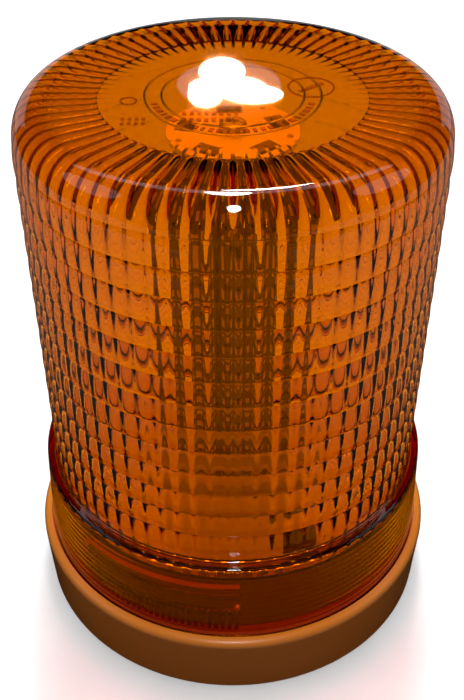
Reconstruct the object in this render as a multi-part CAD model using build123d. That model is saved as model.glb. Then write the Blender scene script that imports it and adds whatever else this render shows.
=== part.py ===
from build123d import *

import math
import os

os.makedirs("parts", exist_ok=True)

# Amber warning beacon: a twist-lock lens over a tower of LED boards on a round orange base.
# Millimetres, +Z up. The origin is the centre of the face that the beacon stands on.

# ---- Base ----
base_radius = 55.7
ring_radius = 56.4
ring_top_z = 19.6
ring_round = 2.4
wall_foot_z = 0.3
outer_wall = 2.8
ledge_z = 18.2
ledge_thickness = 2.5
neck_radius = 48.5
neck_bore_radius = 46.3
neck_top_z = 36.5
floor_z = 2.0
floor_thickness = 3.0

# ---- Mounting face ----
gasket_inner_radius = 33.0
gasket_outer_radius = 52.6
insert_circle_radius = 40.0
insert_radius = 4.2
insert_bore_radius = 2.5
insert_length = 10.0
insert_boss_radius = 6.0
gasket_hole_radius = 4.6
entry_radius = 7.0
cable_radius = 3.2
insert_angles = [30, 150, 270]

# ---- Twist lock: three pads inside the skirt turn under three flanges on the neck ----
lock_count = 3
lock_span = 50.0
lock_lead = 9.0
lock_gap = 0.3
pad_start_angle = -138.0
pad_radius = 49.0
pad_foot_z = 20.2
pad_top_z = 32.4
flange_radius = 50.2
flange_height = 2.2
tooth_pitch = 2.0
tooth_depth = 0.5
tooth_top_z = 27.0

# ---- Lens ----
lens_radius = 50.0
lens_wall = 2.4
lens_height = 145.4
shoulder_radius = 43.6
parting_z = 137.6
parting_lip = 0.35
band_count = 13
band_pitch = 6.95
first_band_z = 130.0
band_bulge = 0.32
skirt_foot_radius = 53.7
skirt_top_radius = 52.5
skirt_foot_z = 18.6
skirt_top_z = 44.5
skirt_wall = 2.2
groove_pitch = 1.9
groove_count = 12
groove_depth = 0.08
reed_count = 72
reed_valley_radius = 47.6
reed_crest_radius = 47.3
crown_z = 143.0
crown_radius = 40.6
rim_foot_z = 39.3

# ---- Seal ----
seal_inner_radius = 46.4
seal_outer_radius = 48.4

# ---- Electronics in the base ----
board_radius = 43.0
board_z = 17.0
board_thickness = 1.6
standoff_circle_radius = 36.0
standoff_angles = [90, 210, 330]
standoff_across_flats = 5.5
plate_radius = 45.8
plate_z = 34.6
plate_thickness = 1.6
connector_x, connector_y = 17.0, -37.0
pillar_bore_radius = 1.25
screw_radius = 1.2
wire_radius = 0.75
capacitor_radius = 5.0
capacitor_height = 12.0
terminal_x, terminal_y = -2.0, -5.0
terminal_ways = [-4.54, 0.54]
lead_pitch = 1.27
lead_y = 7.0

# ---- Tower of LED boards ----
tower_sides = 5
tower_turn = -49.0
tower_apothem = 12.2
led_board_width = 15.2
led_board_thickness = 1.6
led_board_foot_z = 44.4
socket_top_z = 47.4
socket_radius = 17.4
cap_z = 133.2
cap_thickness = 1.3
cap_radius = 15.3
tab_width = 5.6
window_width = 6.2
window_inner = 8.8
window_outer = 13.2
rod_radius = 2.0
led_rows = 10
led_columns = [-3.9, 3.9]
led_first_z = 54.0
led_row_pitch = 8.2
led_width, led_height, led_depth = 3.5, 2.8, 0.8
resistor_width, resistor_height, resistor_depth = 2.0, 1.25, 0.5

plate_top_z = plate_z + plate_thickness
board_top_z = board_z + board_thickness
floor_top_z = floor_z + floor_thickness


def save(shape, name, colour):
    """Write one node of the beacon."""
    shape.label = name
    shape.color = Color(*colour)
    export_step(shape, f"parts/{name}.step")


def revolved(points):
    """Solid of revolution about Z from (radius, height) points."""
    return turned([Polyline(*points, close=True)])


def turned(edges, span=360):
    """Solid of revolution about Z from a closed outline drawn as (radius, height)."""
    return revolve(Plane.XZ * make_face(edges), Axis.Z, span)


def tube(outer, inner, low, high):
    """Plain tube between two heights."""
    ring = Circle(outer) - Circle(inner) if inner else Circle(outer)
    return Pos(0, 0, low) * extrude(ring, high - low)


def post(radius, low, high, x=0.0, y=0.0):
    """Upright cylinder at (x, y)."""
    return Pos(x, y, low) * extrude(Circle(radius), high - low)


def block(width, depth, low, high, x=0.0, y=0.0):
    """Upright box centred on (x, y)."""
    return Pos(x, y, low) * extrude(Rectangle(width, depth), high - low)


def polar(radius, degrees):
    """Point on a circle round the axis."""
    return radius * math.cos(math.radians(degrees)), radius * math.sin(math.radians(degrees))


def sector(inner, outer, low, high, start, span):
    """Part of a ring between two angles."""
    outline = Polyline((inner, low), (outer, low), (outer, high), (inner, high), close=True)
    return Rot(0, 0, start) * turned([outline], span)


def helical_strip(inner, outer, low, high, start, span):
    """Part of a ring that climbs with the twist lock's lead."""
    rise = lock_lead * span / 360
    middle = (inner + outer) / 2
    path = Pos(0, 0, (low + high) / 2) * Helix(lock_lead, rise, middle)
    profile = Plane.XZ * (Pos(middle, (low + high) / 2) * Rectangle(outer - inner, high - low))
    return Rot(0, 0, start) * sweep(profile, path=path, is_frenet=True)


def lock_starts():
    """Angle at which each of the lock's pads begins."""
    return [pad_start_angle + 360 / lock_count * i for i in range(lock_count)]


# ------------------------------------------------------------------ base

def base_housing():
    """Orange housing: rounded ring, ledge, neck with flanges, floor and bosses."""
    inner_wall = ring_radius - outer_wall
    crown_edge = ring_radius - ring_round
    crown_foot = ring_top_z - ring_round
    below = Polyline(
        (0, floor_top_z), (0, floor_z), (neck_radius, floor_z), (neck_radius, ledge_z - ledge_thickness),
        (inner_wall, ledge_z - ledge_thickness), (base_radius - outer_wall, wall_foot_z),
        (base_radius, wall_foot_z), (ring_radius, crown_foot))
    crown = CenterArc((crown_edge, crown_foot), ring_round, 0, 90)
    above = Polyline(
        (crown_edge, ring_top_z), (crown_edge, ledge_z), (neck_radius, ledge_z), (neck_radius, neck_top_z),
        (neck_bore_radius, neck_top_z), (neck_bore_radius, floor_top_z), (0, floor_top_z))
    body = turned([below, crown, above])
    for angle in insert_angles:
        boss_top_z = floor_z + insert_length + 2
        body += post(insert_boss_radius, floor_z, boss_top_z, *polar(insert_circle_radius, angle))
    for angle in standoff_angles:
        body += post(4.5, floor_top_z - 0.5, board_z, *polar(standoff_circle_radius, angle))
    for start in lock_starts():
        body += helical_strip(neck_radius - 0.6, flange_radius, pad_top_z + lock_gap,
                              pad_top_z + lock_gap + flange_height, start, lock_span)
        body += sector(neck_radius - 0.6, flange_radius, pad_foot_z, pad_top_z + lock_gap + 0.8,
                       start - 3.0, 2.4)
    body -= post(entry_radius, 0, floor_top_z + 1)
    for angle in insert_angles:
        body -= post(insert_radius, floor_z - 1, floor_z + insert_length, *polar(insert_circle_radius, angle))
    for angle in standoff_angles:
        body -= post(pillar_bore_radius, board_z - 9, board_z + 1, *polar(standoff_circle_radius, angle))
    return body


def mounting_gasket():
    """Flat rubber ring that the beacon stands on, with a hole for each bolt."""
    ring = tube(gasket_outer_radius, gasket_inner_radius, 0, floor_z)
    for angle in insert_angles:
        ring -= post(gasket_hole_radius, -1, floor_z + 1, *polar(insert_circle_radius, angle))
    return ring


def threaded_inserts():
    """Three brass inserts moulded into the floor."""
    return Compound([
        Pos(*polar(insert_circle_radius, angle), 0)
        * tube(insert_radius, insert_bore_radius, floor_z, floor_z + insert_length)
        for angle in insert_angles])


def cable_grommet():
    """Rubber grommet in the middle of the floor, with lips on both sides."""
    lip = 2.0
    lip_foot_z, lip_top_z = 0.6, floor_top_z + 1.4
    return revolved([
        (cable_radius, lip_foot_z), (entry_radius + lip, lip_foot_z), (entry_radius + lip, floor_z),
        (entry_radius, floor_z), (entry_radius, floor_top_z), (entry_radius + lip, floor_top_z),
        (entry_radius + lip - 0.8, lip_top_z), (cable_radius, lip_top_z)])


# ------------------------------------------------------------------ electronics in the base

def driver_board():
    """Round circuit board that stands on three bosses."""
    board = tube(board_radius, 0, board_z, board_top_z)
    for angle in standoff_angles:
        board -= post(1.7, board_z - 1, board_top_z + 1, *polar(standoff_circle_radius, angle))
    return board - block(14, 6, board_z - 1, board_top_z + 1, -12, 26)


def board_standoffs():
    """Hexagonal pillars, screwed through the driver board into the bosses."""
    pillars = []
    for angle in standoff_angles:
        x, y = polar(standoff_circle_radius, angle)
        hexagon = RegularPolygon(standoff_across_flats / 2, 6, major_radius=False)
        pillar = Pos(x, y, board_top_z) * extrude(hexagon, plate_z - board_top_z)
        pillar += post(screw_radius, board_z - 8, board_top_z + 1, x, y)
        pillars.append(pillar - post(pillar_bore_radius, plate_z - 8, plate_z + 1, x, y))
    return Compound(pillars)


def pan_screw(x, y, seat, length, radius, head_radius, head_height):
    """Cross-recess pan-head screw, pointing down from its seat."""
    head = Pos(x, y, seat) * extrude(Circle(head_radius), head_height)
    rim = head.edges().filter_by(GeomType.CIRCLE).sort_by(Axis.Z)[-1]
    head = fillet(rim, head_height * 0.45)
    head += post(radius, seat - length, seat + 0.2, x, y)
    recess = block(head_radius * 1.1, 0.6, seat + head_height * 0.4, seat + head_height + 1, x, y)
    recess += block(0.6, head_radius * 1.1, seat + head_height * 0.4, seat + head_height + 1, x, y)
    return head - recess


def plate_screws():
    """Three screws that hold the reflector plate on its pillars."""
    return Compound([
        pan_screw(*polar(standoff_circle_radius, angle), plate_top_z, 7.5, screw_radius, 2.8, 1.8)
        for angle in standoff_angles])


def capacitors():
    """Two upright electrolytic capacitors."""
    cans = []
    for x, y in [(-24, -8), (-24, 6)]:
        can = post(capacitor_radius, board_top_z, board_top_z + capacitor_height, x, y)
        cans.append(fillet(can.edges().filter_by(GeomType.CIRCLE), 0.6))
    return Compound(cans)


def inductor():
    """Drum-core inductor of the LED driver."""
    x, y = 20, 14
    core = post(6.0, board_top_z, board_top_z + 2, x, y) + post(6.0, board_top_z + 7, board_top_z + 9, x, y)
    return core + post(4.6, board_top_z + 1, board_top_z + 8, x, y)


def power_transistors():
    """Two flat power packages on the board."""
    return Compound([block(6.6, 9.0, board_top_z, board_top_z + 2.3, x, -22) for x in (-6, 6)])


def control_chip():
    """The flash controller, with its two rows of leads."""
    chip = block(4.0, 8.6, board_top_z + 0.3, board_top_z + 2.0, 4, 18)
    for side in (-1, 1):
        for row in range(7):
            lead_x, row_y = 4 + side * 2.4, 18 + (row - 3) * lead_pitch
            chip += block(1.6, 0.45, board_top_z, board_top_z + 0.7, lead_x, row_y)
    return chip


def terminal_block():
    """Two-way screw terminal for the supply."""
    body = block(10.2, 8.0, board_top_z, board_top_z + 10, terminal_x, terminal_y)
    for x in terminal_ways:
        body -= post(1.9, board_top_z + 4, board_top_z + 11, x, -4.4)
        body -= Pos(x, -8, board_top_z + 3.2) * Box(3.0, 4.0, 2.6)
    return body


def terminal_screws():
    """The terminal's two slotted screws."""
    screws = []
    for x in terminal_ways:
        screw = post(1.8, board_top_z + 4, board_top_z + 8.6, x, -4.4)
        screws.append(screw - block(4, 0.6, board_top_z + 7.8, board_top_z + 9, x, -4.4))
    return Compound(screws)


def reflector_plate():
    """White plate that closes the base under the tower."""
    plate = tube(plate_radius, 0, plate_z, plate_top_z)
    for angle in standoff_angles:
        plate -= post(1.5, plate_z - 1, plate_top_z + 1, *polar(standoff_circle_radius, angle))
    plate -= block(6, 3.6, plate_z - 1, plate_top_z + 1, connector_x, connector_y)
    return plate - block(5.2, 2.6, plate_z - 1, plate_top_z + 1, 0, lead_y)


def supply_connector():
    """Black plug housing on the reflector plate."""
    housing = block(9.4, 5.6, plate_top_z, plate_top_z + 5.2, connector_x, connector_y)
    housing = chamfer(housing.edges().filter_by(Axis.X).group_by(Axis.Z)[-1], 0.7)
    return housing + block(6.4, 1.0, plate_top_z, plate_top_z + 3.4, connector_x, connector_y - 3.2)


def supply_lead():
    """Two wires from the driver board up to the plug housing."""
    return Compound([post(wire_radius, board_top_z, plate_top_z, connector_x + side * 1.6, connector_y)
                     for side in (-1, 1)])


def tower_lead():
    """Two wires from the driver board up into the tower's socket."""
    return Compound([post(wire_radius, board_top_z, socket_top_z, side * 1.4, lead_y) for side in (-1, 1)])


# ------------------------------------------------------------------ tower of LED boards

def on_side(shape, index):
    """Turn a shape made on the +X side to one side of the tower."""
    return Rot(0, 0, tower_turn + 360 / tower_sides * index) * shape


def tower_socket():
    """White pedestal with a slot for each board."""
    body = tube(socket_radius, 0, plate_top_z, socket_top_z)
    body = fillet(body.edges().filter_by(GeomType.CIRCLE).sort_by(Axis.Z)[-1], 1.0)
    body -= post(8.6, plate_top_z - 1, socket_top_z - 6)
    body -= block(5.0, 3.0, plate_top_z - 1, socket_top_z + 1, 0, lead_y)
    body -= post(rod_radius, plate_top_z - 1, socket_top_z + 1)
    for index in range(tower_sides):
        middle = tower_apothem - led_board_thickness / 2
        slot = block(led_board_thickness, led_board_width, led_board_foot_z, socket_top_z + 1, middle, 0)
        body -= on_side(slot, index)
    return body


def led_board(index):
    """Tall green board with a tab that passes through the cap."""
    middle = tower_apothem - led_board_thickness / 2
    board = block(led_board_thickness, led_board_width, led_board_foot_z, cap_z, middle, 0)
    board += block(led_board_thickness, tab_width, cap_z - 1, cap_z + cap_thickness, middle, 0)
    return on_side(board, index)


def board_leds(index):
    """Two columns of LEDs on one board."""
    leds = []
    for row in range(led_rows):
        low = led_first_z + row * led_row_pitch - led_height / 2
        for column in led_columns:
            led = block(led_depth, led_width, low, low + led_height, tower_apothem + led_depth / 2, column)
            leds.append(on_side(led, index))
    return Compound(leds)


def board_resistors(index):
    """A resistor between each pair of LED rows on one board."""
    resistors = []
    for row in range(led_rows - 1):
        low = led_first_z + (row + 0.5) * led_row_pitch - resistor_height / 2
        part = block(resistor_depth, resistor_width, low, low + resistor_height,
                     tower_apothem + resistor_depth / 2, 0)
        resistors.append(on_side(part, index))
    return Compound(resistors)


def tower_cap():
    """Round plate on top of the tower, with a window over each board's tab."""
    cap = tube(cap_radius, 0, cap_z, cap_z + cap_thickness)
    cap -= post(rod_radius, cap_z - 1, cap_z + cap_thickness + 1)
    for index in range(tower_sides):
        length = window_outer - window_inner
        middle = window_inner + length / 2
        window = block(length, window_width, cap_z - 1, cap_z + cap_thickness + 1, middle, 0)
        cap -= on_side(window, index)
        hole = post(0.8, cap_z - 1, cap_z + cap_thickness + 1, *polar(13.3, 180 / tower_sides))
        cap -= on_side(hole, index)
    return cap


def tower_rod():
    """Rod that ties the cap to the socket."""
    return post(rod_radius - 0.05, plate_top_z, cap_z + cap_thickness - 0.2)


def tower_screw():
    """Cross-recess screw on top of the cap."""
    head = Pos(0, 0, cap_z + cap_thickness) * extrude(Circle(3.2), 2.2)
    head = fillet(head.edges().filter_by(GeomType.CIRCLE).sort_by(Axis.Z)[-1], 0.9)
    top = cap_z + cap_thickness + 2.2
    return head - block(3.4, 0.7, top - 1.2, top + 1) - block(0.7, 3.4, top - 1.2, top + 1)


# ------------------------------------------------------------------ lens and seal

def lens_outer():
    """Solid with the lens's outside: grooved skirt, bulging bands and rounded shoulder."""
    rows = [(0, lens_height), (0, skirt_foot_z), (skirt_foot_radius, skirt_foot_z)]
    slope = (skirt_top_radius - skirt_foot_radius) / (skirt_top_z - skirt_foot_z)
    for row in range(groove_count):
        low = skirt_foot_z + 1.2 + row * groove_pitch
        radius = skirt_foot_radius + slope * (low - skirt_foot_z)
        rows += [(radius, low), (radius - groove_depth, low + 0.35), (radius + slope * 0.7, low + 0.7)]
    rows += [(skirt_top_radius, skirt_top_z - 0.8), (skirt_top_radius - 0.7, skirt_top_z)]
    foot_z = first_band_z - (band_count - 1) * band_pitch
    valley = lens_radius - band_bulge
    rows += [(valley + 0.5, skirt_top_z + 0.5), (valley, foot_z)]
    bands = []
    for row in range(band_count):
        low = foot_z + row * band_pitch
        high = low + band_pitch if row < band_count - 1 else parting_z - 0.2
        bands.append(ThreePointArc((valley, low), (lens_radius, (low + high) / 2), (valley, high)))
    shoulder_width = lens_radius - parting_lip - shoulder_radius
    lip = Line((valley, parting_z - 0.2), (shoulder_radius + shoulder_width, parting_z))
    shoulder = EllipticalCenterArc((shoulder_radius, parting_z), shoulder_width, lens_height - parting_z)
    crown = Line((shoulder_radius, lens_height), (0, lens_height))
    return turned([Polyline(*rows), *bands, lip, shoulder, crown])

def fluted_core(low, high):
    """Prism whose sides are the hollows left by the reeds."""
    step = 360 / reed_count
    arcs = []
    for index in range(reed_count):
        start = polar(reed_valley_radius, index * step)
        middle = polar(reed_crest_radius, (index + 0.5) * step)
        end = polar(reed_valley_radius, (index + 1) * step)
        arcs.append(ThreePointArc(start, middle, end))
    return Pos(0, 0, low) * extrude(make_face(Wire(arcs)), high - low)


def lens():
    """Amber lens with reeds inside the wall and lock pads inside the skirt."""
    body = lens_outer()
    slope = (skirt_top_radius - skirt_foot_radius) / (skirt_top_z - skirt_foot_z)
    web_z = skirt_top_z - lens_wall
    skirt_foot_bore = skirt_foot_radius - skirt_wall
    skirt_top_bore = skirt_foot_bore + slope * (web_z - skirt_foot_z)
    rim_radius = reed_valley_radius + 1.6
    body -= revolved([
        (0, skirt_foot_z - 1), (skirt_foot_bore, skirt_foot_z - 1), (skirt_top_bore, web_z),
        (rim_radius, web_z), (rim_radius, rim_foot_z), (0, rim_foot_z)])
    bend_z = parting_z - 1
    bend_width = reed_valley_radius + 0.4 - crown_radius
    bend = EllipticalCenterArc((crown_radius, bend_z), bend_width, crown_z - bend_z)
    below = Polyline((0, crown_z), (0, rim_foot_z - 1), (reed_valley_radius + 0.4, rim_foot_z - 1), bend @ 0)
    hollow = turned([below, bend, Line((crown_radius, crown_z), (0, crown_z))])
    body -= fluted_core(rim_foot_z - 1, crown_z + 1) & hollow
    for start in lock_starts():
        body += lock_pad(start)
    return body


def lock_pad(start):
    """Pad inside the skirt: toothed foot and a top that climbs with the lock's lead."""
    step = math.radians(tooth_pitch)
    points = []
    teeth = int(lock_span / tooth_pitch)
    for tooth in range(teeth):
        low = tooth * step
        points += [(pad_radius, low), (pad_radius, low + step * 0.5),
                   (pad_radius + tooth_depth, low + step * 0.55),
                   (pad_radius + tooth_depth, low + step * 0.95)]
    points.append((pad_radius + tooth_depth, teeth * step))
    inside = [(r * math.cos(a), r * math.sin(a)) for r, a in points]
    reach = skirt_foot_radius - skirt_wall + 0.6
    outside = [polar(reach, angle) for angle in range(int(lock_span), -1, -5)]
    outline = make_face(Polyline(*inside, *outside, close=True))
    foot = Rot(0, 0, start) * Pos(0, 0, pad_foot_z) * extrude(outline, tooth_top_z - pad_foot_z)
    foot += sector(pad_radius + 0.1, reach - 0.3, tooth_top_z - 0.5, pad_top_z - 1.2,
                   start + 0.5, lock_span - 1)
    return foot + helical_strip(pad_radius, reach - 0.5, pad_top_z - 2.0, pad_top_z, start, lock_span)


def lens_seal():
    """Rubber ring between the neck and the lens rim."""
    return tube(seal_outer_radius, seal_inner_radius, neck_top_z, rim_foot_z)


orange = (0.80, 0.35, 0.02)
amber = (0.90, 0.40, 0.02)
white = (0.88, 0.87, 0.84)
board_green = (0.03, 0.16, 0.07)
rubber = (0.03, 0.03, 0.03)
brass = (0.72, 0.55, 0.25)
steel = (0.65, 0.66, 0.68)
black = (0.04, 0.04, 0.045)

save(base_housing(), "base_housing", orange)
save(mounting_gasket(), "mounting_gasket", rubber)
save(threaded_inserts(), "threaded_inserts", brass)
save(cable_grommet(), "cable_grommet", rubber)
save(driver_board(), "driver_board", board_green)
save(board_standoffs(), "board_standoffs", brass)
save(plate_screws(), "plate_screws", steel)
save(capacitors(), "capacitors", black)
save(inductor(), "inductor", black)
save(power_transistors(), "power_transistors", black)
save(control_chip(), "control_chip", black)
save(terminal_block(), "terminal_block", board_green)
save(terminal_screws(), "terminal_screws", steel)
save(reflector_plate(), "reflector_plate", white)
save(supply_connector(), "supply_connector", black)
save(supply_lead(), "supply_lead", black)
save(tower_lead(), "tower_lead", black)
save(tower_socket(), "tower_socket", white)
for number in range(tower_sides):
    save(led_board(number), f"led_board_{number + 1}", board_green)
    save(board_leds(number), f"leds_{number + 1}", white)
    save(board_resistors(number), f"resistors_{number + 1}", black)
save(tower_cap(), "tower_cap", white)
save(tower_rod(), "tower_rod", steel)
save(tower_screw(), "tower_screw", steel)
save(lens(), "lens", amber)
save(lens_seal(), "lens_seal", rubber)
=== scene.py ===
"""Amber warning beacon: the visual model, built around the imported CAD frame.

Sizes are in millimetres until a mesh is finished, and metres after that. +Z is up, the beacon's axis is Z,
and the front is towards -Y.
"""

import logging
import math
from dataclasses import dataclass, field
from enum import Enum
from typing import Iterable, Sequence

import bmesh
import bpy
from mathutils import Matrix, Vector


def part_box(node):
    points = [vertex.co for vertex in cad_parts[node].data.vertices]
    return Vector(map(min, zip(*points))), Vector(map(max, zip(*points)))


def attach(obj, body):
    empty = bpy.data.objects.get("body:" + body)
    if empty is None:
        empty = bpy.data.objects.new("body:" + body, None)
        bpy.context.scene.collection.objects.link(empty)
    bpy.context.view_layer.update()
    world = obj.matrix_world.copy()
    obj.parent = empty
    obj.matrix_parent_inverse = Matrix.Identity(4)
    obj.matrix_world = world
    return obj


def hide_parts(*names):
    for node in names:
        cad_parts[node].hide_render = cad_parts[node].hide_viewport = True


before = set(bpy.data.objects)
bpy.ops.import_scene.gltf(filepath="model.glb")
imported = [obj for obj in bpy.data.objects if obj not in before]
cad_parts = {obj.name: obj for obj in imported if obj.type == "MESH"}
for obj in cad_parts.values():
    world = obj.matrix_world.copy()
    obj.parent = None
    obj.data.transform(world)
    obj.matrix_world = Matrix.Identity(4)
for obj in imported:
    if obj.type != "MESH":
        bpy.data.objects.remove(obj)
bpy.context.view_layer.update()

MM = 0.001
FULL_TURN = 2 * math.pi
MERGE = 1e-4
SHARP = math.radians(32)

CROWN = (0.0, 0.0, 0.1454)

log = logging.getLogger("beacon")

Point = tuple[float, float]
Colour = tuple[float, float, float, float]


class Body(Enum):
    """The bodies of the frame that a piece can ride on."""

    BASE = "base"
    LENS = "lens"


class Slot(Enum):
    """The record's material slots; no piece in this script takes its finish from them."""

    AMBER = "amber_lens"
    LED = "led_package"


def corners(node: str) -> tuple[Vector, Vector]:
    """Lowest and highest corner of a CAD node, in millimetres.

    Args:
        node: name of the node.

    Returns:
        The two corners.
    """
    low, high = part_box(node)
    return Vector(low) / MM, Vector(high) / MM


def arc(centre: Point, width: float, height: float, start: float, end: float, steps: int) -> list[Point]:
    """Points along part of an ellipse.

    Args:
        centre: middle of the ellipse, as radius and height.
        width: half axis along the radius.
        height: half axis along Z.
        start: first angle in degrees, 0 pointing away from the axis.
        end: last angle in degrees.
        steps: number of stretches.

    Returns:
        The points, both ends included.
    """
    angles = [math.radians(start + (end - start) * step / steps) for step in range(steps + 1)]
    return [(centre[0] + width * math.cos(a), centre[1] + height * math.sin(a)) for a in angles]


# ---------------------------------------------------------------------------------------------- mesh work

def spun(outline: Sequence[Point], steps: int) -> bmesh.types.BMesh:
    """Spin an outline of (radius, height) points all the way round Z.

    Args:
        outline: points from one end of the outline to the other.
        steps: number of facets round the axis.

    Returns:
        A new bmesh in millimetres.
    """
    mesh = bmesh.new()
    chain = [mesh.verts.new((radius, 0, height)) for radius, height in outline]
    edges = [mesh.edges.new(pair) for pair in zip(chain, chain[1:])]
    bmesh.ops.spin(mesh, geom=chain + edges, cent=(0, 0, 0), axis=(0, 0, 1), angle=FULL_TURN,
                   steps=steps, use_merge=True)
    bmesh.ops.remove_doubles(mesh, verts=mesh.verts, dist=MERGE)
    return mesh


def joined(meshes: Iterable[bmesh.types.BMesh]) -> bmesh.types.BMesh:
    """Put several bmeshes into one and free them.

    Args:
        meshes: the bmeshes.

    Returns:
        One bmesh that holds them all.
    """
    whole = bmesh.new()
    for part in meshes:
        scratch = bpy.data.meshes.new("scratch")
        part.to_mesh(scratch)
        part.free()
        whole.from_mesh(scratch)
        bpy.data.meshes.remove(scratch)
    return whole


def rounded_box(size: Sequence[float], place: Matrix, bevel: float, segments: int = 1) -> bmesh.types.BMesh:
    """A box with softened edges.

    Args:
        size: lengths along X, Y and Z.
        place: where its middle goes and how it is turned.
        bevel: width of the softened edge.
        segments: facets across that edge.

    Returns:
        A new bmesh in millimetres.
    """
    mesh = bmesh.new()
    bmesh.ops.create_cube(mesh, size=1.0, matrix=place @ Matrix.Diagonal((*size, 1.0)))
    bmesh.ops.bevel(mesh, geom=mesh.edges[:], offset=bevel, affect="EDGES", segments=segments, profile=0.5,
                    material=-1)
    return mesh


def finish_mesh(name: str, mesh: bmesh.types.BMesh, body: Body,
                material: bpy.types.Material) -> bpy.types.Object:
    """Turn a closed bmesh into a finished piece that rides on a body.

    Args:
        name: name of the piece.
        mesh: closed bmesh in millimetres, freed here.
        body: body that carries the piece.
        material: its finish.

    Returns:
        The new object.
    """
    bmesh.ops.recalc_face_normals(mesh, faces=mesh.faces)
    for face in mesh.faces:
        face.smooth = True
    for edge in mesh.edges:
        edge.smooth = len(edge.link_faces) == 2 and edge.calc_face_angle(0.0) < SHARP
    bmesh.ops.scale(mesh, vec=(MM, MM, MM), verts=mesh.verts)
    data = bpy.data.meshes.new(name)
    mesh.to_mesh(data)
    mesh.free()
    data.materials.append(material)
    piece = bpy.data.objects.new(name, data)
    bpy.context.scene.collection.objects.link(piece)
    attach(piece, body.value)
    return piece


# ---------------------------------------------------------------------------------------------- node work

class Graph:
    """A short way to add nodes and links to a node tree."""

    def __init__(self, tree: bpy.types.NodeTree) -> None:
        """Start on an empty tree."""
        self.tree = tree
        tree.nodes.clear()

    def add(self, kind: str, inputs: dict | None = None, **settings: object) -> bpy.types.Node:
        """Add one node.

        Args:
            kind: Blender's name of the node type.
            inputs: values or output sockets for its inputs, by name or number.
            settings: attributes of the node.

        Returns:
            The node.
        """
        node = self.tree.nodes.new(kind)
        for name, value in settings.items():
            setattr(node, name, value)
        for name, value in (inputs or {}).items():
            if isinstance(value, bpy.types.NodeSocket):
                self.tree.links.new(value, node.inputs[name])
            else:
                node.inputs[name].default_value = value
        return node

    def maths(self, operation: str, *values: object) -> bpy.types.NodeSocket:
        """Add a Math node and return its output.

        Args:
            operation: Blender's name of the operation.
            values: its inputs in order.

        Returns:
            The output socket.
        """
        return self.add("ShaderNodeMath", dict(enumerate(values)), operation=operation).outputs[0]

    def object_coordinates(self) -> bpy.types.NodeSocket:
        """The piece's own coordinates, in metres."""
        return self.add("ShaderNodeTexCoord").outputs["Object"]


def shared_group(name: str, inputs: dict[str, float],
                 outputs: Sequence[str]) -> tuple[Graph, bpy.types.NodeTree]:
    """Make a node group with float sockets.

    Args:
        name: name of the group.
        inputs: its inputs and their defaults.
        outputs: its outputs.

    Returns:
        A graph to fill and the group itself.
    """
    tree = bpy.data.node_groups.new(name, "ShaderNodeTree")
    graph = Graph(tree)
    for label, value in inputs.items():
        socket = tree.interface.new_socket(label, in_out="INPUT", socket_type="NodeSocketFloat")
        socket.default_value = value
    for label in outputs:
        tree.interface.new_socket(label, in_out="OUTPUT", socket_type="NodeSocketFloat")
    return graph, tree


def moulded_grain() -> bpy.types.NodeTree:
    """Node group: the faint mottling of a moulded or cast surface.

    Returns:
        A group with Roughness and Height outputs.
    """
    graph, tree = shared_group("moulded_grain", {"Scale": 900.0, "Roughness": 0.3, "Spread": 0.1},
                               ["Roughness", "Height"])
    given = graph.add("NodeGroupInput").outputs
    where = graph.object_coordinates()
    fine = graph.add("ShaderNodeTexNoise", {"Vector": where, "Scale": given["Scale"], "Detail": 3.0})
    broad_scale = graph.maths("MULTIPLY", given["Scale"], 0.06)
    broad = graph.add("ShaderNodeTexNoise", {"Vector": where, "Scale": broad_scale, "Detail": 2.0})
    mottle = graph.maths("SUBTRACT", broad.outputs["Fac"], 0.5)
    change = graph.maths("MULTIPLY", mottle, given["Spread"])
    rough = graph.maths("ADD", given["Roughness"], change)
    graph.add("NodeGroupOutput", {"Roughness": rough, "Height": fine.outputs["Fac"]})
    return tree


def settled_dust() -> bpy.types.NodeTree:
    """Node group: dust that lies on faces that look up.

    Returns:
        A group with one Mask output.
    """
    graph, tree = shared_group("settled_dust", {"Amount": 0.1, "Scale": 250.0}, ["Mask"])
    given = graph.add("NodeGroupInput").outputs
    normal = graph.add("ShaderNodeNewGeometry").outputs["Normal"]
    upward = graph.add("ShaderNodeSeparateXYZ", {"Vector": normal}).outputs["Z"]
    speckle = graph.add("ShaderNodeTexNoise", {"Vector": graph.object_coordinates(), "Scale": given["Scale"],
                                               "Detail": 6.0})
    lying = graph.maths("MULTIPLY", graph.maths("MAXIMUM", upward, 0.0), speckle.outputs["Fac"])
    mask = graph.maths("MULTIPLY", lying, given["Amount"])
    graph.add("NodeGroupOutput", {"Mask": mask})
    return tree


GRAIN = moulded_grain()
DUST = settled_dust()


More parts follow.
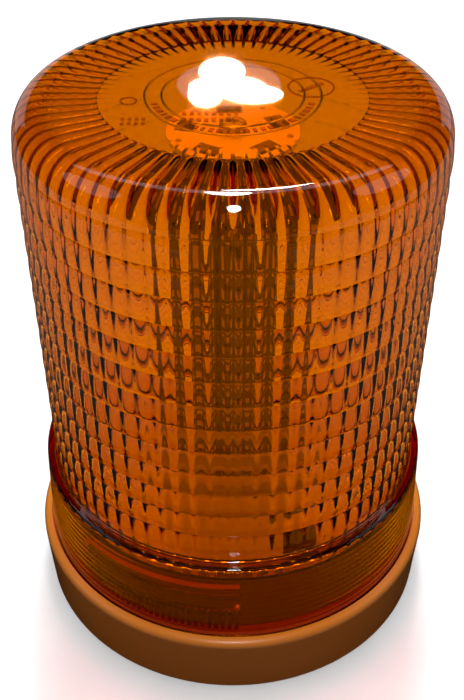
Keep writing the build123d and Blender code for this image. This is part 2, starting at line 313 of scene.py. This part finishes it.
@dataclass(frozen=True)
class Moulding:
    """Opaque moulded, painted or plated finish with grain and a little dust."""

    name: str
    colour: Colour
    roughness: float = 0.4
    spread: float = 0.12
    metallic: float = 0.0
    grain_scale: float = 900.0
    grain_height: float = 0.02
    dust: float = 0.06
    coat: float = 0.0

    def base_colour(self, graph: Graph) -> bpy.types.NodeSocket:
        """The colour before dust.

        Args:
            graph: the material's graph.

        Returns:
            A colour socket that varies slightly over the surface.
        """
        mottle = graph.add("ShaderNodeTexNoise", {"Vector": graph.object_coordinates(),
                                                  "Scale": self.grain_scale * 0.05, "Detail": 3.0})
        darker = tuple(c * 0.86 for c in self.colour[:3]) + (1.0,)
        mix = graph.add("ShaderNodeMix", {"Factor": mottle.outputs["Fac"]}, data_type="RGBA")
        mix.inputs[6].default_value = darker
        mix.inputs[7].default_value = self.colour
        return mix.outputs[2]

    def build(self) -> bpy.types.Material:
        """Make the material.

        Returns:
            The material.
        """
        material = bpy.data.materials.new(self.name)
        material.use_nodes = True
        graph = Graph(material.node_tree)
        grain = graph.add("ShaderNodeGroup", node_tree=GRAIN)
        grain.inputs["Scale"].default_value = self.grain_scale
        grain.inputs["Roughness"].default_value = self.roughness
        grain.inputs["Spread"].default_value = self.spread
        dust = graph.add("ShaderNodeGroup", node_tree=DUST)
        dust.inputs["Amount"].default_value = self.dust
        coloured = graph.add("ShaderNodeMix", {"Factor": dust.outputs["Mask"]}, data_type="RGBA")
        graph.tree.links.new(self.base_colour(graph), coloured.inputs[6])
        coloured.inputs[7].default_value = (0.55, 0.52, 0.47, 1.0)
        bump = graph.add("ShaderNodeBump", {"Strength": 0.4, "Distance": self.grain_height * MM,
                                            "Height": grain.outputs["Height"]})
        shader = graph.add("ShaderNodeBsdfPrincipled", {
            "Base Color": coloured.outputs[2], "Roughness": grain.outputs["Roughness"],
            "Metallic": self.metallic, "Coat Weight": self.coat, "Coat Roughness": 0.15,
            "Normal": bump.outputs["Normal"]})
        graph.add("ShaderNodeOutputMaterial", {"Surface": shader.outputs[0]})
        return material


@dataclass(frozen=True)
class LitTopMoulding(Moulding):
    """Moulded finish with painted light: lighter where it faces up, as if lit from above, and darker on the
    sides as painted shade.
    """

    painted_lit_top: Colour = (0.52, 0.155, 0.002, 1.0)

    def base_colour(self, graph: Graph) -> bpy.types.NodeSocket:
        """The colour before dust, with painted light: lighter on faces that look up.

        Args:
            graph: the material's graph.

        Returns:
            A colour socket.
        """
        normal = graph.add("ShaderNodeNewGeometry").outputs["Normal"]
        upward = graph.add("ShaderNodeSeparateXYZ", {"Vector": normal}).outputs["Z"]
        # painted light: upward faces blend to the lighter colour, and the sides keep the darker painted
        # shade
        share = graph.add("ShaderNodeMapRange", {"Value": upward, "From Min": 0.15, "From Max": 0.9})
        mix = graph.add("ShaderNodeMix", {"Factor": share.outputs["Result"]}, data_type="RGBA")
        graph.tree.links.new(super().base_colour(graph), mix.inputs[6])
        mix.inputs[7].default_value = self.painted_lit_top
        return mix.outputs[2]


@dataclass(frozen=True)
class CircuitBoard(Moulding):
    """Green solder mask with copper tracks under it, on a board that faces a given way."""

    facing: float = 0.0
    track: Colour = (0.17, 0.15, 0.05, 1.0)

    def base_colour(self, graph: Graph) -> bpy.types.NodeSocket:
        """Solder mask, lighter over the tracks.

        Args:
            graph: the material's graph.

        Returns:
            A colour socket.
        """
        turned = graph.add("ShaderNodeMapping", {"Vector": graph.object_coordinates(),
                                                 "Rotation": (0.0, 0.0, -math.radians(self.facing))})
        axes = graph.add("ShaderNodeSeparateXYZ", {"Vector": turned.outputs[0]})
        flat = graph.add("ShaderNodeCombineXYZ", {"X": axes.outputs["Z"], "Y": axes.outputs["Y"], "Z": 0.0})
        tracks = graph.add("ShaderNodeTexBrick", {
            "Vector": flat.outputs[0], "Color1": (1.0, 1.0, 1.0, 1.0), "Color2": (1.0, 1.0, 1.0, 1.0),
            "Mortar": (0.0, 0.0, 0.0, 1.0), "Scale": 120.0, "Mortar Size": 0.035, "Mortar Smooth": 0.1,
            "Brick Width": 0.98, "Row Height": 0.27})
        mix = graph.add("ShaderNodeMix", {"Factor": tracks.outputs["Fac"]}, data_type="RGBA")
        mix.inputs[6].default_value = self.track
        mix.inputs[7].default_value = self.colour
        return mix.outputs[2]


@dataclass(frozen=True)
class AmberPolycarbonate:
    """Clear amber plastic that bends light and lets lamps through to what is behind it.

    The skirt is tinted darker than the wall above it: painted shade, standing in for the shaded base neck
    behind the skirt.
    """

    name: str = "amber_polycarbonate"
    colour: Colour = (0.76, 0.455, 0.003, 1.0)
    shade: Colour = (0.98, 0.66, 0.05, 1.0)
    depth_colour: Colour = (0.97, 0.86, 0.0, 1.0)
    skirt_shade_colour: Colour = (0.60, 0.31, 0.01, 1.0)
    skirt_top_z: float = 45.0
    skirt_blend: float = 2.0
    grain_scale: float = 700.0
    density: float = 900.0
    roughness: float = 0.02
    index: float = 1.58

    def build(self) -> bpy.types.Material:
        """Make the material.

        Returns:
            The material.
        """
        material = bpy.data.materials.new(self.name)
        material.use_nodes = True
        graph = Graph(material.node_tree)
        grain = graph.add("ShaderNodeGroup", node_tree=GRAIN)
        grain.inputs["Scale"].default_value = self.grain_scale
        grain.inputs["Roughness"].default_value = self.roughness
        grain.inputs["Spread"].default_value = self.roughness
        bump = graph.add("ShaderNodeBump", {"Strength": 0.05, "Distance": 0.01 * MM,
                                            "Height": grain.outputs["Height"]})
        axes = graph.add("ShaderNodeSeparateXYZ", {"Vector": graph.object_coordinates()})
        above = graph.add("ShaderNodeMapRange", {"Value": axes.outputs["Z"],
                                                 "From Min": (self.skirt_top_z - self.skirt_blend) * MM,
                                                 "From Max": self.skirt_top_z * MM})
        # painted shade: below the skirt top the tint turns darker
        tint = graph.add("ShaderNodeMix", {"Factor": above.outputs["Result"]}, data_type="RGBA")
        tint.inputs[6].default_value = self.skirt_shade_colour
        tint.inputs[7].default_value = self.colour
        glass = graph.add("ShaderNodeBsdfPrincipled", {
            "Base Color": tint.outputs[2], "Roughness": grain.outputs["Roughness"], "IOR": self.index,
            "Transmission Weight": 1.0, "Normal": bump.outputs["Normal"]})
        clear = graph.add("ShaderNodeBsdfTransparent", {"Color": self.shade})
        path = graph.add("ShaderNodeLightPath")
        surface = graph.add("ShaderNodeMixShader", {0: path.outputs["Is Shadow Ray"], 1: glass.outputs[0],
                                                    2: clear.outputs[0]})
        inside = graph.add("ShaderNodeVolumeAbsorption",
                           {"Color": self.depth_colour, "Density": self.density})
        graph.add("ShaderNodeOutputMaterial", {"Surface": surface.outputs[0], "Volume": inside.outputs[0]})
        return material


# ---------------------------------------------------------------------------------------------- lens

@dataclass
class Lens:
    """Amber lens: grooved skirt, banded wall, rounded shoulder, and reeds all over the inside."""

    radius: float = 50.0
    shoulder_radius: float = 43.6
    parting_z: float = 137.6
    parting_lip: float = 0.35
    band_count: int = 13
    band_pitch: float = 6.95
    first_band_z: float = 130.0
    band_bulge: float = 0.32
    joint_depth: float = 0.08
    joint_half: float = 0.22
    skirt_top_radius: float = 52.5
    skirt_top_z: float = 44.5
    skirt_wall: float = 2.2
    groove_pitch: float = 1.9
    groove_count: int = 12
    groove_depth: float = 0.06
    web_z: float = 42.1
    rim_foot_z: float = 39.3
    rim_radius: float = 49.2
    crown_z: float = 143.0
    crown_radius: float = 40.6
    reed_count: int = 72
    reed_facets: int = 10
    reed_valley: float = 47.6
    reed_depth: float = 0.85
    wall_share: float = 0.35
    easing_z: float = 133.5
    easing_share: float = 0.38
    flat_from_z: float = 129.0
    reed_nose_radius: float = 30.1
    reed_nose_length: float = 1.6
    facets: int = 288
    foot_z: float = field(init=False)
    top_z: float = field(init=False)
    foot_radius: float = field(init=False)

    def __post_init__(self) -> None:
        """Take the overall sizes from the frame."""
        low, high = corners("lens")
        self.foot_z, self.top_z, self.foot_radius = low.z, high.z, high.x

    def skirt_radius(self, height: float) -> float:
        """Outer radius of the tapered skirt at a height."""
        share = (height - self.foot_z) / (self.skirt_top_z - self.foot_z)
        return self.foot_radius + (self.skirt_top_radius - self.foot_radius) * share

    def skirt_outline(self) -> list[Point]:
        """Inside of the skirt, its foot and its grooved outside, going up."""
        bore_top = self.skirt_radius(self.web_z) - self.skirt_wall
        bore_foot = self.foot_radius - self.skirt_wall
        points = [(self.rim_radius, self.rim_foot_z), (self.rim_radius, self.web_z), (bore_top, self.web_z),
                  (bore_foot, self.foot_z + 0.3), (bore_foot + 0.3, self.foot_z)]
        points += [(self.foot_radius - 0.4, self.foot_z), (self.foot_radius, self.foot_z + 0.4)]
        for row in range(self.groove_count):
            low = self.foot_z + 1.2 + row * self.groove_pitch
            for rise, sink in ((0.0, 0.0), (0.35, 1.0), (0.7, 0.0)):
                points.append((self.skirt_radius(low + rise) - sink * self.groove_depth, low + rise))
        edge = 0.7
        points += arc((self.skirt_top_radius - edge, self.skirt_top_z - edge), edge, edge, 0, 90, 5)
        return points

    def wall_outline(self) -> list[Point]:
        """Outside of the wall with its bulging bands, going up."""
        valley = self.radius - self.band_bulge
        foot_z = self.first_band_z - (self.band_count - 1) * self.band_pitch
        fillet = 0.9
        points = arc((valley + fillet, self.skirt_top_z + 0.1 + fillet), fillet, fillet, 270, 180, 4)
        for row in range(self.band_count):
            low = foot_z + row * self.band_pitch
            high = low + self.band_pitch if row < self.band_count - 1 else self.parting_z - 0.2
            points.append((valley - self.joint_depth, low))
            low, high = low + self.joint_half, high - self.joint_half
            for step in range(8):
                across = step / 3.5 - 1
                points.append((self.radius - self.band_bulge * across ** 2, low + (high - low) * step / 7))
        points.append((valley - self.joint_depth, self.parting_z - 0.2))
        return points

    def shoulder_outline(self) -> list[Point]:
        """Parting line, rounded shoulder and flat crown, going up and in."""
        width = self.radius - self.parting_lip - self.shoulder_radius
        points = arc((self.shoulder_radius, self.parting_z), width, self.top_z - self.parting_z, 0, 90, 22)
        points += [(self.shoulder_radius * share, self.top_z) for share in (0.8, 0.55, 0.3, 0.1, 0.0)]
        return points

    def crown_outline(self) -> list[Point]:
        """Underside of the crown, with its two raised rings, from the axis outwards."""
        points = [(0.0, self.crown_z), (2.0, self.crown_z)]
        for ring in (2.7, 15.9, 19.7):
            for offset, drop in ((-0.35, 0.0), (-0.2, 0.2), (0.0, 0.28), (0.2, 0.2), (0.35, 0.0)):
                points.append((ring + offset, self.crown_z - drop))
        points += [(25.0, self.crown_z), (self.reed_nose_radius, self.crown_z)]
        return points

    def reed_stations(self) -> list[tuple[Point, Point, float]]:
        """Places along one reed: point on the valley, direction inwards, and share of the full depth."""
        stations = []
        for step in range(7):
            share = step / 6
            radius = self.reed_nose_radius + self.reed_nose_length * share ** 1.5
            depth = math.sqrt(1 - (1 - share) ** 2) * 0.72
            stations.append(((radius, self.crown_z), (0.0, -1.0), depth))
        nose_end = self.reed_nose_radius + self.reed_nose_length
        for share in (0.35, 0.7):
            radius = nose_end + (self.crown_radius - nose_end) * share
            stations.append(((radius, self.crown_z), (0.0, -1.0), 0.72 + 0.2 * share))
        width, bend_z = self.reed_valley - self.crown_radius, self.parting_z - 1.0
        height = self.crown_z - bend_z
        for step in range(17):
            angle = math.radians(90 - 90 * step / 16)
            point = (self.crown_radius + width * math.cos(angle), bend_z + height * math.sin(angle))
            across = Vector((math.cos(angle) / width, math.sin(angle) / height)).normalized()
            share = 0.92 - 0.45 * (step / 16) ** 2
            stations.append((point, (-across.x, -across.y), share))
        flattening = ((self.easing_z, self.easing_share), (self.flat_from_z, self.wall_share),
                      (self.rim_foot_z, self.wall_share))
        for height_now, share in flattening:
            stations.append(((self.reed_valley, height_now), (-1.0, 0.0), share))
        return stations

    def reed_section(self, across: float, share: float) -> float:
        """Height of a reed's section: a round arc where it is deep, a gentle wave where it is shallow.

        Args:
            across: place across the reed, from -1 to 1.
            share: share of the full depth at this place.

        Returns:
            Share of the full depth.
        """
        half = self.reed_valley * math.radians(180 / self.reed_count)
        bend = (half ** 2 + self.reed_depth ** 2) / (2 * self.reed_depth)
        above_valley = math.sqrt(bend ** 2 - (half * across) ** 2) - (bend - self.reed_depth)
        arc_height = above_valley / self.reed_depth
        wave_height = (1 + math.cos(math.pi * across)) / 2
        blend = min(max((share - self.wall_share) / 0.4, 0.0), 1.0)
        return wave_height + (arc_height - wave_height) * blend

    def reeds(self) -> bmesh.types.BMesh:
        """Inner surface with one rounded reed after another.

        Returns:
            An open bmesh in millimetres.
        """
        stations = self.reed_stations()
        rows = len(stations) - 1
        mesh = bmesh.new()
        bmesh.ops.create_grid(mesh, x_segments=self.reed_facets, y_segments=rows, size=1.0)
        half_pitch = math.pi / self.reed_count
        for vert in mesh.verts:
            (radius, height), (out, up), share = stations[round((vert.co.y + 1) / 2 * rows)]
            depth = self.reed_depth * share * self.reed_section(vert.co.x, share)
            angle = half_pitch * (vert.co.x + 1)
            radius += out * depth
            vert.co = (radius * math.cos(angle), radius * math.sin(angle), height + up * depth)
        bmesh.ops.spin(mesh, geom=mesh.verts[:] + mesh.edges[:] + mesh.faces[:],
                       cent=(0, 0, 0), axis=(0, 0, 1),
                       angle=FULL_TURN * (self.reed_count - 1) / self.reed_count, steps=self.reed_count - 1,
                       use_duplicate=True)
        bmesh.ops.remove_doubles(mesh, verts=mesh.verts, dist=MERGE)
        return mesh

    def shell(self) -> bmesh.types.BMesh:
        """The whole moulding as one closed skin.

        Returns:
            A closed bmesh in millimetres.
        """
        outside = spun(self.skirt_outline() + self.wall_outline() + self.shoulder_outline(), self.facets)
        crown = spun(self.crown_outline(), self.reed_count * self.reed_facets)
        mesh = joined([outside, crown, self.reeds()])
        bmesh.ops.remove_doubles(mesh, verts=mesh.verts, dist=MERGE * 5)
        open_edges = [edge for edge in mesh.edges if len(edge.link_faces) == 1]
        bmesh.ops.bridge_loops(mesh, edges=open_edges)
        return mesh

    def build(self, material: bpy.types.Material) -> None:
        """Make the lens.

        Args:
            material: the amber finish.
        """
        piece = finish_mesh("lens_moulding", self.shell(), Body.LENS, material)
        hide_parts("lens")
        log.info("lens: %d faces", len(piece.data.polygons))


@dataclass
class LockPads:
    """Toothed pads of the twist lock, inside the skirt. Their tops climb with the lock's lead."""

    count: int = 3
    first_angle: float = -138.0
    span: float = 50.0
    lead: float = 9.0
    inner: float = 49.0
    outer: float = 50.7
    foot_z: float = 20.2
    tooth_top_z: float = 27.0
    top_z: float = 32.4
    tooth_pitch: float = 2.0
    tooth_width: float = 1.0
    steps: int = 40

    def slab(self, start: float) -> bmesh.types.BMesh:
        """The climbing upper part of one pad.

        Args:
            start: angle in degrees at which it begins.

        Returns:
            A closed bmesh in millimetres.
        """
        low, high = self.tooth_top_z + 0.1, self.top_z
        upright = (Matrix.Translation(((self.inner + self.outer) / 2, 0.0, (low + high) / 2))
                   @ Matrix.Rotation(math.pi / 2, 4, "X"))
        shape = Matrix.Diagonal((self.outer - self.inner, high - low, 1.0, 1.0))
        mesh = bmesh.new()
        bmesh.ops.create_grid(mesh, x_segments=1, y_segments=1, size=0.5,
                              matrix=Matrix.Rotation(math.radians(start), 4, "Z") @ upright @ shape)
        rise = self.lead * self.span / 360
        bmesh.ops.spin(mesh, geom=mesh.verts[:] + mesh.edges[:] + mesh.faces[:],
                       cent=(0, 0, 0), axis=(0, 0, 1),
                       dvec=(0, 0, rise / self.steps), angle=math.radians(self.span), steps=self.steps)
        return mesh

    def teeth(self, start: float) -> bmesh.types.BMesh:
        """The row of teeth at the foot of one pad.

        Args:
            start: angle in degrees at which the pad begins.

        Returns:
            A bmesh of closed boxes in millimetres.
        """
        size = (self.outer - self.inner, self.tooth_width, self.tooth_top_z - self.foot_z)
        boxes = []
        for tooth in range(int(self.span / self.tooth_pitch)):
            turn = Matrix.Rotation(math.radians(start + (tooth + 0.5) * self.tooth_pitch), 4, "Z")
            middle_radius, middle_z = (self.inner + self.outer) / 2, (self.foot_z + self.tooth_top_z) / 2
            middle = Matrix.Translation((middle_radius, 0.0, middle_z))
            boxes.append(rounded_box(size, turn @ middle, 0.15, 2))
        return joined(boxes)

    def build(self, material: bpy.types.Material) -> None:
        """Make the pads.

        Args:
            material: the amber finish.
        """
        for number in range(self.count):
            start = self.first_angle + 360 / self.count * number
            pad = joined([self.slab(start), self.teeth(start)])
            finish_mesh(f"lock_pad_{number + 1}", pad, Body.LENS, material)
        log.info("lock pads: %d", self.count)


@dataclass(frozen=True)
class DashRow:
    """One straight row of plain dashes, from its first dash's middle along X, in millimetres."""

    x: float
    y: float
    pitch: float
    count: int
    width: float
    length: float


@dataclass
class CrownMarks:
    """Small raised marks under the crown: a disc, a ring, and rows and an arc of plain dashes."""

    crown_z: float = 143.0
    gap: float = 0.02
    height: float = 0.25
    arc_radius: float = 17.8
    arc_half: float = 75.0
    arc_step: float = 6.0
    disc: tuple[float, float, float] = (17.6, 3.9, 5.4)
    ring: tuple[float, float, float] = (-23.0, -3.3, 2.0)
    bar: tuple[float, float] = (7.0, 1.2)
    bar_turn: float = 38.0
    dash_rows: tuple[DashRow, ...] = (
        DashRow(x=-10.5, y=-9.3, pitch=1.6, count=8, width=0.9, length=1.6),
        DashRow(x=-10.5, y=-12.4, pitch=1.6, count=8, width=0.9, length=1.6),
        DashRow(x=-23.6, y=-12.0, pitch=1.5, count=4, width=0.8, length=1.2),
        DashRow(x=-23.6, y=-14.2, pitch=1.5, count=4, width=0.8, length=1.2))

    def dash(self, width: float, length: float, x: float, y: float, turn: float = 0.0) -> bmesh.types.BMesh:
        """One plain dash.

        Args:
            width: size along X before turning.
            length: size along Y before turning.
            x: place of its middle.
            y: place of its middle.
            turn: angle in degrees.

        Returns:
            A closed bmesh in millimetres.
        """
        middle = Matrix.Translation((x, y, self.crown_z - self.gap - self.height / 2))
        placed = middle @ Matrix.Rotation(math.radians(turn), 4, "Z")
        return rounded_box((width, length, self.height), placed, 0.07)

    def hoop(self, x: float, y: float, radius: float, width: float = 0.5) -> bmesh.types.BMesh:
        """One round mark.

        Args:
            x: place of its middle.
            y: place of its middle.
            radius: outer radius.
            width: width of the raised line.

        Returns:
            A closed bmesh in millimetres.
        """
        top = self.crown_z - self.gap
        line = [(radius - width, top), (radius - width * 0.7, top - self.height),
                (radius - width * 0.3, top - self.height), (radius, top), (radius - width, top)]
        mesh = spun(line, 48)
        bmesh.ops.translate(mesh, vec=(x, y, 0.0), verts=mesh.verts)
        return mesh

    def build(self, material: bpy.types.Material) -> None:
        """Make the marks.

        Args:
            material: the amber finish.
        """
        disc_x, disc_y, _ = self.disc
        marks = [self.hoop(*self.disc), self.dash(*self.bar, disc_x, disc_y, self.bar_turn),
                 self.hoop(*self.ring)]
        steps = int(2 * self.arc_half / self.arc_step)
        for step in range(steps + 1):
            turn = -self.arc_half + step * self.arc_step
            bearing = math.radians(turn)
            x, y = self.arc_radius * math.sin(bearing), -self.arc_radius * math.cos(bearing)
            marks.append(self.dash(0.8 + 0.3 * (step % 3), 1.5, x, y, turn))
        for row in self.dash_rows:
            marks += [self.dash(row.width, row.length, row.x + row.pitch * column, row.y)
                      for column in range(row.count)]
        finish_mesh("crown_marks", joined(marks), Body.LENS, material)
        log.info("crown marks: %d", len(marks))


# ---------------------------------------------------------------------------------------------- tower

@dataclass
class LedTower:
    """Five boards round a rod, each with two columns of LEDs."""

    sides: int = 5
    first_side: float = -49.0
    rows: int = 10
    columns: tuple[float, ...] = (-3.9, 3.9)
    apothem: float = 12.2
    first_z: float = 54.0
    row_pitch: float = 8.2
    package: tuple[float, float, float] = (0.7, 2.8, 3.5)

    def facing(self, side: int) -> float:
        """Azimuth in degrees that one side looks towards."""
        return self.first_side + 360 / self.sides * side

    def build(self, package: bpy.types.Material, window: bpy.types.Material) -> None:
        """Make the LEDs of every board.

        Args:
            package: white ceramic finish.
            window: yellow silicone finish.
        """
        depth, height, width = self.package
        for side in range(self.sides):
            turn = Matrix.Rotation(math.radians(self.facing(side)), 4, "Z")
            bodies, windows = [], []
            for row in range(self.rows):
                for column in self.columns:
                    spot = (self.apothem + depth / 2, column, self.first_z + row * self.row_pitch)
                    place = turn @ Matrix.Translation(spot)
                    bodies.append(rounded_box((depth, width, height), place, 0.12))
                    front = turn @ Matrix.Translation((spot[0] + depth / 2, spot[1], spot[2]))
                    windows.append(rounded_box((0.16, width * 0.72, height * 0.72), front, 0.06))
            cases = finish_mesh(f"led_cases_{side + 1}", joined(bodies), Body.BASE, package)
            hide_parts(f"leds_{side + 1}")
            finish_mesh(f"led_windows_{side + 1}", joined(windows), Body.BASE, window)
        log.info("LEDs: %d", self.sides * self.rows * len(self.columns))


# ---------------------------------------------------------------------------------------------- finishes

WHITE = Moulding("white_plastic", (0.40, 0.38, 0.34, 1.0), roughness=0.45)
CAP_WHITE = Moulding("white_enamel", (0.90, 0.89, 0.86, 1.0), roughness=0.35, dust=0.02)
# painted light and shade: the base is lighter on top and darker on its sides
ORANGE = LitTopMoulding("orange_plastic", (0.155, 0.042, 0.002, 1.0), roughness=0.3,
                          grain_height=0.03, dust=0.02)
BLACK_RUBBER = Moulding("black_rubber", (0.012, 0.012, 0.012, 1.0), roughness=0.75)
BLACK_PART = Moulding("component_black", (0.010, 0.006, 0.008, 1.0), roughness=0.6, dust=0.01)
GREEN_PART = Moulding("terminal_green", (0.02, 0.20, 0.06, 1.0), roughness=0.4)
STEEL = Moulding("zinc_plate", (0.60, 0.61, 0.62, 1.0), roughness=0.28, metallic=1.0)
BRASS = Moulding("brass", (0.68, 0.47, 0.17, 1.0), roughness=0.3, metallic=1.0)
RESISTOR = Moulding("resistor_black", (0.015, 0.015, 0.017, 1.0), roughness=0.35)
LED_CASE = Moulding("led_case", (0.52, 0.49, 0.42, 1.0), roughness=0.4, dust=0.0)
LED_WINDOW = Moulding("led_silicone", (0.62, 0.46, 0.07, 1.0), roughness=0.2, dust=0.0)
PALE_FLOOR = Moulding("pale_floor", (0.86, 0.86, 0.86, 1.0), roughness=0.95, grain_height=0.0, dust=0.0)
DRIVER_BOARD = CircuitBoard("driver_board_mask", (0.015, 0.09, 0.03, 1.0), roughness=0.3)
TOWER_MASK: Colour = (0.125, 0.088, 0.03, 1.0)

NODE_FINISHES = {
    "base_housing": ORANGE, "mounting_gasket": BLACK_RUBBER, "cable_grommet": BLACK_RUBBER,
    "lens_seal": BLACK_RUBBER, "threaded_inserts": BRASS, "board_standoffs": BRASS, "plate_screws": STEEL,
    "tower_screw": STEEL, "tower_rod": STEEL, "terminal_screws": STEEL, "capacitors": BLACK_PART,
    "inductor": BLACK_PART, "power_transistors": BLACK_PART, "control_chip": BLACK_PART,
    "supply_connector": BLACK_PART, "supply_lead": BLACK_PART, "tower_lead": BLACK_PART,
    "terminal_block": GREEN_PART, "reflector_plate": WHITE, "tower_socket": WHITE, "tower_cap": CAP_WHITE,
    "driver_board": DRIVER_BOARD,
}


def dress_nodes(tower: LedTower) -> None:
    """Give every CAD node that stays its finish.

    Args:
        tower: the tower, for the way that each board faces.
    """
    built = {finish.name: finish.build() for finish in set(NODE_FINISHES.values())}
    nodes = {name: built[finish.name] for name, finish in NODE_FINISHES.items()}
    resistor = RESISTOR.build()
    for side in range(tower.sides):
        board = CircuitBoard(f"board_mask_{side + 1}", TOWER_MASK, roughness=0.3, facing=tower.facing(side))
        nodes[f"led_board_{side + 1}"] = board.build()
        nodes[f"resistors_{side + 1}"] = resistor
    for name, material in nodes.items():
        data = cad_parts[name].data
        data.materials.clear()
        data.materials.append(material)
    log.info("dressed %d CAD nodes", len(nodes))


# ---------------------------------------------------------------------------------------------- studio

@dataclass
class Lamp:
    """A soft area lamp that looks at the beacon."""

    name: str
    azimuth: float
    elevation: float
    distance: float
    size: tuple[float, float]
    power: float
    colour: tuple[float, float, float] = (1.0, 1.0, 1.0)
    aim: tuple[float, float, float] = (0.0, 0.0, 0.12)
    mirrored: bool = True
    round_edge: bool = True
    refracted: bool = True
    only_mirrored: bool = False

    def build(self) -> None:
        """Make the lamp. Azimuth 0 is in front of the beacon, and 180 behind it."""
        data = bpy.data.lights.new(self.name, "AREA")
        data.shape = "ELLIPSE" if self.round_edge else "RECTANGLE"
        data.size, data.size_y = self.size
        data.energy = self.power
        data.color = self.colour
        turn, rise = math.radians(self.azimuth), math.radians(self.elevation)
        away = Vector((math.sin(turn) * math.cos(rise), -math.cos(turn) * math.cos(rise), math.sin(rise)))
        lamp = bpy.data.objects.new(self.name, data)
        lamp.location = Vector(self.aim) + away * self.distance
        lamp.rotation_euler = away.to_track_quat("Z", "Y").to_euler()
        lamp.visible_glossy = self.mirrored
        lamp.visible_transmission = self.refracted
        if self.only_mirrored:
            lamp.visible_camera = lamp.visible_diffuse = lamp.visible_transmission = False
        bpy.context.scene.collection.objects.link(lamp)


@dataclass
class Studio:
    """Pale floor, soft lamps and the camera."""

    camera_away: float = 0.218
    camera_height: float = 0.2425
    tilt_down: float = 40.7
    focal: float = 53.0
    shift_x: float = -0.00143
    shift_y: float = 0.07143
    floor_size: float = 6.0
    sky_strength: float = 0.60

    def floor(self) -> None:
        """Lay the pale floor, kept out of mirror reflections so that none lies over the lens."""
        mesh = bmesh.new()
        bmesh.ops.create_grid(mesh, x_segments=1, y_segments=1, size=self.floor_size / 2)
        data = bpy.data.meshes.new("floor")
        mesh.to_mesh(data)
        mesh.free()
        data.materials.append(PALE_FLOOR.build())
        floor = bpy.data.objects.new("floor", data)
        floor.visible_glossy = False
        bpy.context.scene.collection.objects.link(floor)

    def lamps(self) -> None:
        """Hang the lamps."""
        for lamp in (
                Lamp("window_top", 180.75, 22.85, 1.3, (0.066, 0.038), 0.13, aim=CROWN),
                Lamp("window_middle", 180.4, 23.75, 1.3, (0.110, 0.030), 0.14, aim=CROWN),
                Lamp("window_left", 181.9, 24.2, 1.3, (0.050, 0.036), 0.09, aim=CROWN),
                Lamp("window_right", 178.6, 24.2, 1.3, (0.086, 0.026), 0.10, aim=CROWN),
                Lamp("window_halo", 180.3, 23.6, 1.32, (0.15, 0.062), 0.016, (0.93, 0.88, 1.0), aim=CROWN),
                Lamp("tube_low", 175, 45.0, 1.2, (0.20, 0.21), 3.4, refracted=False),
                Lamp("tube_high", 182, 68.0, 1.2, (0.17, 0.48), 5.0),
                Lamp("ceiling", 180, 62.0, 1.5, (2.2, 0.5), 3.2, (0.92, 0.88, 1.0)),
                Lamp("overhead", 180, 72.0, 1.6, (1.8, 1.8), 15.0, mirrored=False, refracted=False),
                Lamp("backdrop", 180, 3.0, 1.8, (3.4, 1.0), 5.5, round_edge=False),
                Lamp("front_spot", 0.6, 50.0, 0.9, (0.085, 0.36), 2.4),
                Lamp("left_fill", -80, 30.0, 1.4, (0.8, 0.8), 1.2),
                Lamp("right_fill", 85, 30.0, 1.4, (0.8, 0.8), 1.2)):
            lamp.build()

    def side_cards(self) -> None:
        """Lay dim cards on the floor at both sides, seen only as a sheen on the wall of the lens."""
        far_edge, depth, back, radiance = 0.50, 0.8, 0.10, 0.05
        lift, step = 0.006, 0.001
        for number, near_edge in enumerate((0.09, 0.13, 0.18, 0.26)):
            width = far_edge - near_edge
            power = radiance * math.pi * width * depth
            for side, sign in (("left", -1), ("right", 1)):
                middle = (sign * (near_edge + width / 2), back, lift + step * number)
                Lamp(f"{side}_card_{number + 1}", 0, -90, 0.003, (width, depth), power, aim=middle,
                     round_edge=False, only_mirrored=True).build()

    def sky(self) -> None:
        """Set the plain light that comes from all round, kept out of mirror reflections."""
        world = bpy.data.worlds.new("studio")
        bpy.context.scene.world = world
        world.use_nodes = True
        world.cycles_visibility.glossy = False
        graph = Graph(world.node_tree)
        light = graph.add("ShaderNodeBackground", {"Color": (1.0, 1.0, 1.0, 1.0),
                                                   "Strength": self.sky_strength})
        graph.add("ShaderNodeOutputWorld", {"Surface": light.outputs[0]})

    def camera(self) -> None:
        """Place the camera in front of and above the beacon."""
        data = bpy.data.cameras.new("camera")
        data.lens = self.focal
        data.sensor_width = 36.0
        data.shift_x = self.shift_x
        data.shift_y = self.shift_y
        camera = bpy.data.objects.new("camera", data)
        camera.location = (0.0, -self.camera_away, self.camera_height)
        camera.rotation_euler = (math.radians(90 - self.tilt_down), 0.0, 0.0)
        bpy.context.scene.collection.objects.link(camera)
        bpy.context.scene.camera = camera

    def build(self) -> None:
        """Set up everything round the beacon."""
        self.floor()
        self.lamps()
        self.side_cards()
        self.sky()
        self.camera()
        bpy.context.scene.view_settings.view_transform = "Standard"
        log.info("studio ready")


def main() -> None:
    """Build the beacon piece by piece, then the studio."""
    logging.basicConfig(level=logging.INFO, format="%(name)s %(message)s")
    tower = LedTower()
    dress_nodes(tower)
    tower.build(LED_CASE.build(), LED_WINDOW.build())
    amber = AmberPolycarbonate().build()
    Lens().build(amber)
    LockPads().build(amber)
    CrownMarks().build(amber)
    Studio().build()


if __name__ == "__main__":
    main()
